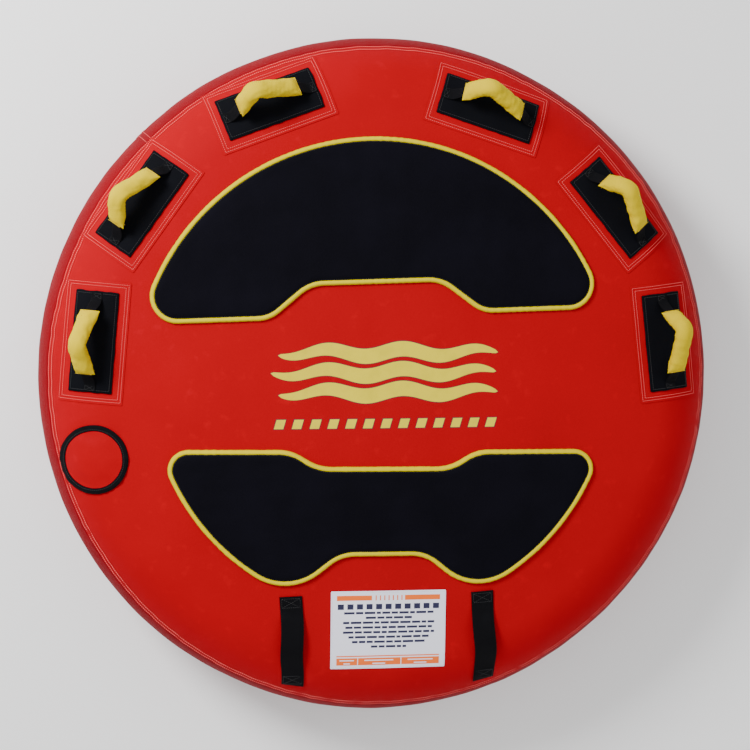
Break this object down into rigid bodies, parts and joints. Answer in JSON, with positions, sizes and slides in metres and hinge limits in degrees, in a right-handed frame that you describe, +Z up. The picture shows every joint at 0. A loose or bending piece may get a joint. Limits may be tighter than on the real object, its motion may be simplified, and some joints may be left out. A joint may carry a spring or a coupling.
{
  "type": "towable tube",
  "caption": "Round inflatable deck tube with padded kneeling areas, hinged grab handles, valve flap, zipper and webbing tow loop.",
  "frame": {"origin": "centre of the base, on the ground under the tube", "axes": "+Z up through the deck, +Y to the bow where the tow loop is, +X to starboard"},
  "size_m": [1.52, 1.5244, 0.4162],
  "materials": {
    "red_nylon": "woven coated nylon",
    "dark_red_nylon": "woven coated nylon",
    "black_neoprene": "fabric-faced neoprene",
    "yellow_fabric": "smooth woven nylon",
    "black_webbing": "woven webbing",
    "grey_foam": "open foam",
    "blue_vinyl": "satin",
    "white_plastic": "satin",
    "black_plastic": "satin",
    "black_rubber": "matte",
    "white_label": "smooth",
    "brass": "satin"
  },
  "bodies": {
    "tube": {"cover_top": "red_nylon", "cover_side_band": "dark_red_nylon", "cover_bottom": "red_nylon", "front_pad": "black_neoprene", "front_pad_piping": "yellow_fabric", "rear_pad": "black_neoprene", "rear_pad_piping": "yellow_fabric", "handle_patch_left_front": "red_nylon", "handle_patch_left_middle": "red_nylon", "handle_patch_left_rear": "red_nylon", "handle_patch_right_front": "red_nylon", "handle_patch_right_middle": "red_nylon", "handle_patch_right_rear": "red_nylon", "knuckle_pad_left_front": "black_neoprene", "knuckle_pad_left_middle": "black_neoprene", "knuckle_pad_left_rear": "black_neoprene", "knuckle_pad_right_front": "black_neoprene", "knuckle_pad_right_middle": "black_neoprene", "knuckle_pad_right_rear": "black_neoprene", "bladder": "blue_vinyl", "bladder_baffles": "blue_vinyl", "valve_flange": "blue_vinyl", "valve_base": "white_plastic", "valve_insert": "black_plastic", "valve_flapper": "black_rubber", "zipper_tape": "black_webbing", "zipper_chain": "black_plastic", "boarding_strap_left": "black_webbing", "boarding_strap_right": "black_webbing", "tow_patch": "black_webbing", "tow_anchor": "black_webbing", "drain_grommet_port": "brass", "drain_grommet_starboard": "brass", "information_label": "white_label"},
    "handle_left_front": {"handle_webbing_left_front": "black_webbing", "handle_foam_left_front": "grey_foam", "handle_sleeve_left_front": "yellow_fabric"},
    "handle_left_middle": {"handle_webbing_left_middle": "black_webbing", "handle_foam_left_middle": "grey_foam", "handle_sleeve_left_middle": "yellow_fabric"},
    "handle_left_rear": {"handle_webbing_left_rear": "black_webbing", "handle_foam_left_rear": "grey_foam", "handle_sleeve_left_rear": "yellow_fabric"},
    "handle_right_front": {"handle_webbing_right_front": "black_webbing", "handle_foam_right_front": "grey_foam", "handle_sleeve_right_front": "yellow_fabric"},
    "handle_right_middle": {"handle_webbing_right_middle": "black_webbing", "handle_foam_right_middle": "grey_foam", "handle_sleeve_right_middle": "yellow_fabric"},
    "handle_right_rear": {"handle_webbing_right_rear": "black_webbing", "handle_foam_right_rear": "grey_foam", "handle_sleeve_right_rear": "yellow_fabric"},
    "valve_cover_flap": {"valve_cover": "red_nylon", "valve_cover_binding": "black_webbing"},
    "valve_cap_body": {"valve_cap": "black_plastic"},
    "zipper_slider_body": {"zipper_slider": "brass"},
    "zipper_pull_tab": {"zipper_pull": "brass"},
    "tow_loop_body": {"tow_loop": "black_webbing"}
  },
  "joints": [
    {"name": "handle_left_front_hinge", "type": "hinge", "parent": "tube", "child": "handle_left_front", "pos_m": [-0.25517, 0.59823, 0.32393], "axis": [-0.9367, -0.3502, 0], "range_deg": [-61, 45], "stiffness_Nm_per_rad": 1.5},
    {"name": "handle_left_middle_hinge", "type": "hinge", "parent": "tube", "child": "handle_left_middle", "pos_m": [-0.52877, 0.38417, 0.32291], "axis": [-0.5821, -0.8131, 0], "range_deg": [-76, 30], "stiffness_Nm_per_rad": 1.5},
    {"name": "handle_left_rear_hinge", "type": "hinge", "parent": "tube", "child": "handle_left_rear", "pos_m": [-0.63222, 0.08998, 0.3271], "axis": [-0.0889, -0.996, 0], "range_deg": [-62, 44], "stiffness_Nm_per_rad": 1.5},
    {"name": "handle_right_front_hinge", "type": "hinge", "parent": "tube", "child": "handle_right_front", "pos_m": [0.22073, 0.59351, 0.32825], "axis": [-0.9516, 0.3074, 0], "range_deg": [-63, 43], "stiffness_Nm_per_rad": 1.5},
    {"name": "handle_right_middle_hinge", "type": "hinge", "parent": "tube", "child": "handle_right_middle", "pos_m": [0.50553, 0.37956, 0.32846], "axis": [-0.6334, 0.7738, 0], "range_deg": [-62, 44], "stiffness_Nm_per_rad": 1.5},
    {"name": "handle_right_rear_hinge", "type": "hinge", "parent": "tube", "child": "handle_right_rear", "pos_m": [0.62342, 0.08318, 0.32904], "axis": [-0.1115, 0.9938, 0], "range_deg": [-54, 52], "stiffness_Nm_per_rad": 1.5},
    {"name": "valve_cover_hinge", "type": "hinge", "parent": "tube", "child": "valve_cover_flap", "pos_m": [-0.56253, -0.14441, 0.3262], "axis": [-0.2487, 0.9686, 0], "range_deg": [0, 150]},
    {"name": "valve_cap_hinge", "type": "hinge", "parent": "tube", "child": "valve_cap_body", "pos_m": [-0.62919, -0.18217, 0.31417], "axis": [0.9128, 0.2343, 0.3345], "range_deg": [0, 150]},
    {"name": "zipper_slide", "type": "hinge", "parent": "tube", "child": "zipper_slider_body", "pos_m": [0, 0, 0.09162], "axis": [0, 0, -1], "range_deg": [0, 34]},
    {"name": "zipper_pull_flip", "type": "hinge", "parent": "zipper_slider_body", "child": "zipper_pull_tab", "pos_m": [0.22102, -0.72292, 0.08628], "axis": [-0.9563, -0.2924, 0], "range_deg": [-10, 110]},
    {"name": "tow_loop_hinge", "type": "hinge", "parent": "tube", "child": "tow_loop_body", "pos_m": [0, 0.7492, 0.08723], "axis": [1, 0, 0], "range_deg": [0, 120]}
  ],
  "couplings": [
    {"joint": "valve_cap_hinge", "follows": "valve_cover_hinge", "ratio": 1}
  ]
}
